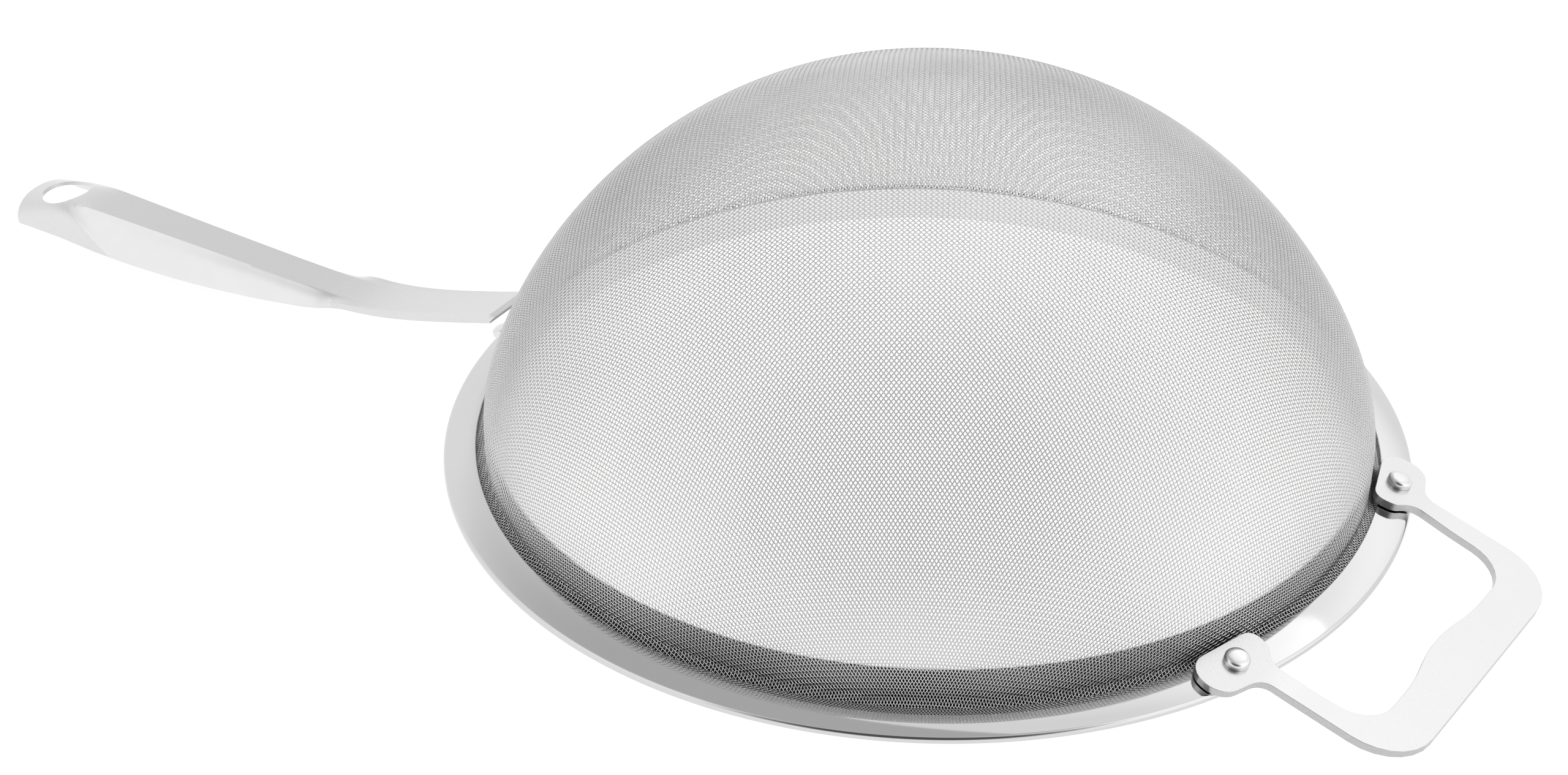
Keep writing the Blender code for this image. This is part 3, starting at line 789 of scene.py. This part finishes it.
class STRAINER_OT_loop_handle(bpy.types.Operator):
    """Stamp the flat loop handle, bend its ears to the flange and break its edges"""
    bl_idname = "strainer.loop_handle"
    bl_label = "Loop Handle"

    def execute(self, context):
        handles = settings("handles")
        half = [(x * MM, y * MM, r * MM) for x, y, r in LOOP_CORNERS]
        corners = half + [(x, -y, r) for x, y, r in reversed(half)]
        points = [HOME + Vector((p.x, p.y, 0.0)) for p in filleted(corners)]
        piece = traced("loop_handle_plate", points, closed=True)
        bpy.ops.mesh.select_all(action="SELECT")
        bpy.ops.mesh.edge_face_add()
        bisected([(106.0 + 1.75 * k) * MM for k in range(17)])
        for v in piece.data.vertices:
            v.co.z = HOME.z + loop_height(v.co.x - HOME.x, v.co.y - HOME.y)
        if piece.data.polygons[0].normal.z < 0.0:
            piece.data.flip_normals()
        modified(piece, "SOLIDIFY", thickness=handles.loop_plate, offset=-1.0, use_even_offset=True)
        rounded_edges(piece, 0.25 * MM, angle=50.0, segments=3)
        shaded(piece, brushed_stainless("brushed_loop_stainless", math.radians(-20.0)), dull_edge_and_painted_shade())
        # Upright faces take the greyer edge colour: the dull cut edge together with painted shade.
        for face in piece.data.polygons:
            if abs(face.normal.z) < 0.35:               # the cut edges stand upright
                face.material_index = 1
        modified(piece, "WEIGHTED_NORMAL", keep_sharp=True)
        placed(piece, "helper_handle")
        return {"FINISHED"}


# ---------------------------------------------------------------- long handle

STRAP_SLOPE = 0.335
STRAP_START = 136.0 * MM                    # where the bracket ends and the strap begins
STRAP_HALF = 8.3 * MM
BRACKET_CLEAR = 0.8 * MM                    # between the cloth and the bracket's inner edge
BRACKET_SPAN = 14.4                         # degrees either side of -X that the inner edge covers
STRAP_DROP = 3.9 * MM                       # how far the strap is set down just outside the rim
DROP_FROM, DROP_OVER = 125.5 * MM, 10.5 * MM
SPINE_LEVEL = -19.2 * MM
SPINE_END = 299.0 * MM
HANDLE_TIP = 317.0                          # mm from the axis
BEND_SOFTNESS = 9.0 * MM                    # how gently the strap turns level
PAD_SOFTNESS = 3.6 * MM                     # how gently the grip turns down into the pad
PAD_SLOPE = math.tan(math.radians(14.3))
HOLE_CENTRE = 304.5 * MM
GRIP_THINNING = 0.42                        # share of its thickness that the sheet loses to the pad
PANEL_TIP, PANEL_END = 195.0, 297.0         # mm from the axis; the buffed side panels lie between
# (reach, value) along the handle in mm: half widths, the sides' fall below the spine, their swell
SPINE_HALF = [(136, 5.4), (205, 5.4), (285, 6.6), (300, 6.9), (317, 6.6)]
GRIP_HALF = [(136, 8.3), (175, 8.3), (190, 8.7), (206, 10.3), (235, 12.7), (265, 14.2), (290, 14.6),
             (317, 14.0)]
GRIP_DROP = [(136, 0.0), (185, 0.0), (192, 0.2), (203, 3.4), (214, 5.2), (235, 7.4), (262, 8.8),
             (285, 8.7), (302, 7.4), (317, 4.4)]
GRIP_BULGE = [(136, 0.0), (195, 0.0), (220, 0.4), (265, 0.5), (290, 0.3), (317, 0.0)]


def bracket_height(x, y=0.0):
    """Top of the bracket: it lies on the flange, then sets down to the strap outside the rim."""
    handles = settings("handles")
    reach = math.hypot(x, y)
    lift = (handles.strap_plate + 0.3 * MM) / math.cos(math.atan(FLANGE_SLOPE))
    return flange_height(reach) + lift - STRAP_DROP * smooth_step((reach - DROP_FROM) / DROP_OVER)


def soft_ramp(past, softness):
    """Zero before a corner and the distance past it after, with a soft bend between."""
    return softness * np.logaddexp(0.0, past / softness)


def spine_height(reach):
    """Top of the handle along its middle, at a distance from the bowl's axis."""
    bend = (SPINE_LEVEL - bracket_height(-STRAP_START)) / -STRAP_SLOPE + STRAP_START
    drop = STRAP_SLOPE * soft_ramp(bend - reach, BEND_SOFTNESS)
    return SPINE_LEVEL + drop - PAD_SLOPE * soft_ramp(reach - SPINE_END, PAD_SOFTNESS)


def blend(reach, stops):
    """Value along the handle, on a smooth curve through all (reach, value) stops, both in mm."""
    at = np.array([stop[0] for stop in stops]) * MM
    value = np.array([stop[1] for stop in stops]) * MM
    slope = np.gradient(value, at)
    reach = min(max(reach, at[0]), at[-1])
    k = min(int(np.searchsorted(at, reach, side="right")) - 1, len(at) - 2)
    step = at[k + 1] - at[k]
    t = (reach - at[k]) / step
    return float(value[k] * (1 + 2 * t) * (1 - t) ** 2 + slope[k] * step * t * (1 - t) ** 2
                 + value[k + 1] * t * t * (3 - 2 * t) - slope[k + 1] * step * t * t * (1 - t))


def grip_point(row, t, side, inward=1.0):
    """A point of the grip's outer face: row in mm along it, t from the spine's edge to the skirt's.

    inward scales the spine's half width, for the points of the spine itself, where t is 0.
    """
    crease = 21.5 * t ** 1.7 * (smooth_step((row - 225.0) / 72.0) if row < PANEL_END
                                else 1.0 - smooth_step((row - PANEL_END) / 20.0))
    tip = 13.0 * (1.0 - t) ** 4 * (smooth_step((row - 176.0) / 19.0) if row < PANEL_TIP
                                   else 1.0 - smooth_step((row - PANEL_TIP) / 40.0))
    reach = (row - crease + tip) * MM
    spine, half, drop = (blend(reach, stops) for stops in (SPINE_HALF, GRIP_HALF, GRIP_DROP))
    swell = blend(row * MM, GRIP_BULGE) * math.sin(math.pi * t) ** 1.5 if t > 0.0 else 0.0
    y = spine * inward + (half - spine) * t + swell * 0.8
    arch = smooth_step((row - 288.0) / 12.0)          # the flat spine fades into an arched pad
    fall = drop * ((1.0 - arch) * t ** 1.05 + arch * (y / half) ** 3)
    end = 3.6 * MM * smooth_step((row - 300.0) / 17.0)
    corner = 1.6 * MM * smooth_step((row - 311.0) / 6.0)
    x = -(reach - end * (y / half) ** 2 - corner * (y / half) ** 12)
    return HOME + Vector((x, side * y, spine_height(reach) - fall + swell * 0.6))


class STRAINER_OT_long_handle(bpy.types.Operator):
    """Press the long handle from one sheet: strap, channelled grip and pierced end; its bracket is not
    drawn, by add_bracket's known fault
    """
    bl_idname = "strainer.long_handle"
    bl_label = "Long Handle"

    def execute(self, context):
        handles = settings("handles")
        side_cuts, spine_cuts = 12, 4           # columns across each side and half the spine
        rows = np.concatenate([np.linspace(136.0, 188.0, 27), np.linspace(189.0, 226.0, 50),
                               np.linspace(228.0, 290.0, 42), np.linspace(291.0, 303.0, 25),
                               np.linspace(304.0, HANDLE_TIP, 14)])   # closer rows at each bend
        for seam in (PANEL_TIP, PANEL_END):
            rows[np.abs(rows - seam).argmin()] = seam
        columns = 2 * (side_cuts + spine_cuts)
        deselect()
        bpy.ops.mesh.primitive_grid_add(x_subdivisions=len(rows) - 1, y_subdivisions=columns,
                                        size=1.0, location=(0.0, 0.0, 0.0))
        piece = bpy.context.object
        piece.name = piece.data.name = "long_handle_sheet"
        xs = np.array([v.co.x for v in piece.data.vertices])
        ys = np.array([v.co.y for v in piece.data.vertices])
        row_of = np.rint((xs - xs.min()) / (xs.max() - xs.min()) * (len(rows) - 1)).astype(int)
        column_of = np.rint((ys - ys.min()) / (ys.max() - ys.min()) * columns).astype(int) - columns // 2
        for v, r, c in zip(piece.data.vertices, row_of, column_of):
            side = -1.0 if c < 0 else 1.0
            if abs(c) >= spine_cuts:
                v.co = grip_point(rows[r], (abs(c) - spine_cuts) / side_cuts, side)
            else:
                v.co = grip_point(rows[r], 0.0, side, abs(c) / spine_cuts)
        self.add_bracket(piece)
        for face in piece.data.polygons:
            verts = [v for v in face.vertices if v < len(row_of)]
            face_rows = [rows[row_of[v]] for v in verts]
            face_columns = [abs(column_of[v]) for v in verts]
            if verts and min(face_columns) >= spine_cuts and min(face_rows) >= PANEL_TIP \
                    and max(face_rows) <= PANEL_END:
                face.material_index = 1
        piece.data.materials.append(brushed_stainless("brushed_strap_stainless", 0.0))
        piece.data.materials.append(bpy.data.materials["buffed_stainless"])
        sheet = piece.vertex_groups.new(name="sheet")
        for v in piece.data.vertices:
            reach = (HOME.x - v.co.x) / MM
            sheet.add([v.index], 1.0 - GRIP_THINNING * smooth_step((reach - 200.0) / 80.0), "REPLACE")
        modified(piece, "SOLIDIFY", thickness=handles.strap_plate, offset=-1.0, use_even_offset=True,
                 use_quality_normals=True, vertex_group="sheet")
        piece.vertex_groups.clear()
        hole = HOME + Vector((-HOLE_CENTRE, 0.0, spine_height(HOLE_CENTRE)))
        drilled(piece, hole, Vector((-PAD_SLOPE, 0.0, 1.0)).normalized(), handles.hole, depth=14.0 * MM)
        rounded_edges(piece, 0.18 * MM, angle=30.0)
        shaded(piece, angle=24.0)
        modified(piece, "WEIGHTED_NORMAL", keep_sharp=True)
        placed(piece, "long_handle")
        return {"FINISHED"}

    def add_bracket(self, piece):
        """Meant to draw the bracket's outline from one end of the strap's first row to the other, filled.

        Known fault: since the strap was set down, the outline starts 0.10 mm below the strap's
        corner, the first pick looks within 0.05 mm only, and so no bracket is drawn.
        """
        cloth = settings("cloth")
        clear = cloth.radius + BRACKET_CLEAR
        arc = [math.radians(BRACKET_SPAN * (1.0 - k / 12)) for k in range(25)]
        ear = [(-129.0 * MM, STRAP_HALF, 3.0 * MM), (-121.6 * MM, 34.4 * MM, 2.2 * MM)]
        start = [(-STRAP_START, STRAP_HALF, 0.0), (-134.0 * MM, STRAP_HALF, 0.0)]
        inside = [(-clear * math.cos(a), clear * math.sin(a), 0.0) for a in arc]
        corners = start + ear + inside + [(x, -y, r) for x, y, r in reversed(start + ear)]
        outline = [HOME + Vector((p.x, p.y, bracket_height(p.x, p.y))) for p in filleted(corners)]
        bpy.ops.object.mode_set(mode="EDIT")
        first_x = HOME.x - STRAP_START - 0.01 * MM

        def on_bracket(v, last=None):
            return v.co.x > first_x

        pick_vertices(piece, lambda v, last: (v.co - outline[0]).length < 0.05 * MM)
        for here, there in zip(outline, outline[1:]):
            bpy.ops.mesh.extrude_region_move(TRANSFORM_OT_translate={"value": there - here})
        bpy.ops.mesh.select_all(action="SELECT")
        bpy.ops.mesh.remove_doubles(threshold=0.02 * MM)
        pick_vertices(piece, on_bracket)
        bpy.ops.mesh.edge_face_add()
        for k in range(19):
            pick_vertices(piece, on_bracket)
            bpy.ops.mesh.bisect(plane_co=HOME - Vector((135.0 - 1.25 * k, 0.0, 0.0)) * MM,
                                plane_no=(1.0, 0.0, 0.0))
        for k in range(-8, 9):
            pick_vertices(piece, on_bracket)
            bpy.ops.mesh.bisect(plane_co=HOME + Vector((0.0, 4.0 * k * MM, 0.0)),
                                plane_no=(0.0, 1.0, 0.0))
        bpy.ops.mesh.select_all(action="SELECT")
        bpy.ops.mesh.normals_make_consistent(inside=False)
        bpy.ops.object.mode_set(mode="OBJECT")
        for v in piece.data.vertices:
            if on_bracket(v):
                v.co.z = HOME.z + bracket_height(v.co.x - HOME.x, v.co.y - HOME.y)
        if sum(face.normal.z * face.area for face in piece.data.polygons) < 0.0:
            piece.data.flip_normals()


# ---------------------------------------------------------------- studio

ROOM_PATCHES = [                            # (azimuth, elevation, spread) in degrees, strength
    (-60.0, 40.0, 44.0, 0.10),              # the dark side that the viewer stands on
    (142.0, 72.0, 44.0, 0.55), (97.0, 43.0, 26.0, 1.30), (122.0, 30.0, 18.0, 0.84),
    (-135.0, 38.0, 36.0, 1.10), (5.0, 28.0, 50.0, 1.30)]


class STRAINER_OT_studio(bpy.types.Operator):
    """Lay the pale floor, hang the soft lights and place the camera"""
    bl_idname = "strainer.studio"
    bl_label = "Studio"

    def execute(self, context):
        studio = settings("studio")
        self.lay_floor(studio)
        self.paint_world()
        self.add_light("soft_top", 0.9, 1.0, azimuth=80.0, elevation=62.0, distance=1.5)
        self.place_camera(studio)
        return {"FINISHED"}

    def lay_floor(self, studio):
        deselect()
        bpy.ops.mesh.primitive_circle_add(vertices=96, radius=studio.floor, fill_type="NGON",
                                          location=(HOME.x, HOME.y, CAD_BOX[0][2]))
        floor = bpy.context.object
        floor.name = floor.data.name = "studio_floor"
        bpy.ops.object.transform_apply(location=True)
        floor.data.materials.append(studio_floor())

    def paint_world(self):
        """White walls, with dimmer and brighter parts that give the bright metal its greys."""
        world = bpy.data.worlds.new("studio_room")
        bpy.context.scene.world = world
        world.use_nodes = True
        tree = world.node_tree
        back = tree.nodes["Background"]
        back.inputs["Color"].default_value = linear("#FFFFFF")
        look = node(tree, "ShaderNodeTexCoord").outputs["Generated"]
        level = None
        for azimuth, elevation, spread, dimmed in ROOM_PATCHES:
            a, e = math.radians(azimuth), math.radians(elevation)
            towards = (math.cos(a) * math.cos(e), math.sin(a) * math.cos(e), math.sin(e))
            facing = node(tree, "ShaderNodeVectorMath", {1: towards}, {0: look}, operation="DOT_PRODUCT")
            dim = node(tree, "ShaderNodeMapRange", {"From Min": math.cos(math.radians(spread)),
                                                    "From Max": math.cos(math.radians(spread * 0.35)),
                                                    "To Min": 1.0, "To Max": dimmed},
                       {"Value": facing.outputs["Value"]}, interpolation_type="SMOOTHSTEP").outputs[0]
            level = dim if level is None else node(tree, "ShaderNodeMath", links={0: level, 1: dim},
                                                   operation="MULTIPLY").outputs[0]
        tree.links.new(level, back.inputs["Strength"])

    def add_light(self, name, size, power, azimuth, elevation, distance):
        """A square soft light that faces the bowl."""
        azimuth, elevation = math.radians(azimuth), math.radians(elevation)
        direction = Vector((math.cos(azimuth) * math.cos(elevation), math.sin(azimuth) * math.cos(elevation),
                            math.sin(elevation)))
        deselect()
        bpy.ops.object.light_add(type="AREA", location=HOME + direction * distance,
                                 rotation=direction.to_track_quat("Z", "Y").to_euler())
        light = bpy.context.object
        light.name = light.data.name = name
        light.data.size = size
        light.data.energy = power

    def place_camera(self, studio):
        flat = math.cos(studio.elevation)
        towards = Vector((math.cos(studio.azimuth) * flat, math.sin(studio.azimuth) * flat,
                          math.sin(studio.elevation)))
        right = (-towards).cross(UPRIGHT).normalized()
        up = right.cross(-towards)
        place = HOME + towards * studio.distance
        aim = HOME + right * studio.aside + up * studio.above
        turn = (place - aim).to_track_quat("Z", "Y") @ Matrix.Rotation(studio.roll, 4, "Z").to_quaternion()
        deselect()
        bpy.ops.object.camera_add(location=place, rotation=turn.to_euler())
        camera = bpy.context.object
        camera.data.lens = studio.lens
        camera.data.sensor_width = 36.0
        camera.data.clip_end = 20.0
        scene = bpy.context.scene
        scene.camera = camera
        scene.view_settings.view_transform = "Standard"


# ---------------------------------------------------------------- panel, registration and main

class STRAINER_OT_finishes(bpy.types.Operator):
    """Mix the finishes that several pieces share"""
    bl_idname = "strainer.finishes"
    bl_label = "Shared Finishes"

    def execute(self, context):
        polished_spun_stainless()
        buffed_stainless()
        return {"FINISHED"}


STEPS = (STRAINER_OT_finishes, STRAINER_OT_rim_flange, STRAINER_OT_rim_collar, STRAINER_OT_wire_cloth,
         STRAINER_OT_long_handle, STRAINER_OT_loop_handle, STRAINER_OT_rivets, STRAINER_OT_studio)


class STRAINER_PT_panel(bpy.types.Panel):
    bl_idname = "STRAINER_PT_panel"
    bl_label = "Hand Strainer"
    bl_space_type = "VIEW_3D"
    bl_region_type = "UI"
    bl_category = "Strainer"

    def draw(self, context):
        for step in STEPS:
            self.layout.operator(step.bl_idname)
        for name, group in GROUPS.items():
            box = self.layout.box()
            box.label(text=name.title())
            for key in group.__annotations__:
                box.prop(settings(name), key)


def register():
    for name, group in GROUPS.items():
        bpy.utils.register_class(group)
        setattr(bpy.types.Scene, "strainer_" + name, PointerProperty(type=group))
    for step in (*STEPS, STRAINER_PT_panel):
        bpy.utils.register_class(step)


def unregister():
    for step in (STRAINER_PT_panel, *reversed(STEPS)):
        bpy.utils.unregister_class(step)
    for name, group in GROUPS.items():
        delattr(bpy.types.Scene, "strainer_" + name)
        bpy.utils.unregister_class(group)


def main():
    register()
    for step in STEPS:
        group, name = step.bl_idname.split(".")
        getattr(getattr(bpy.ops, group), name)()


if __name__ == "__main__":
    main()
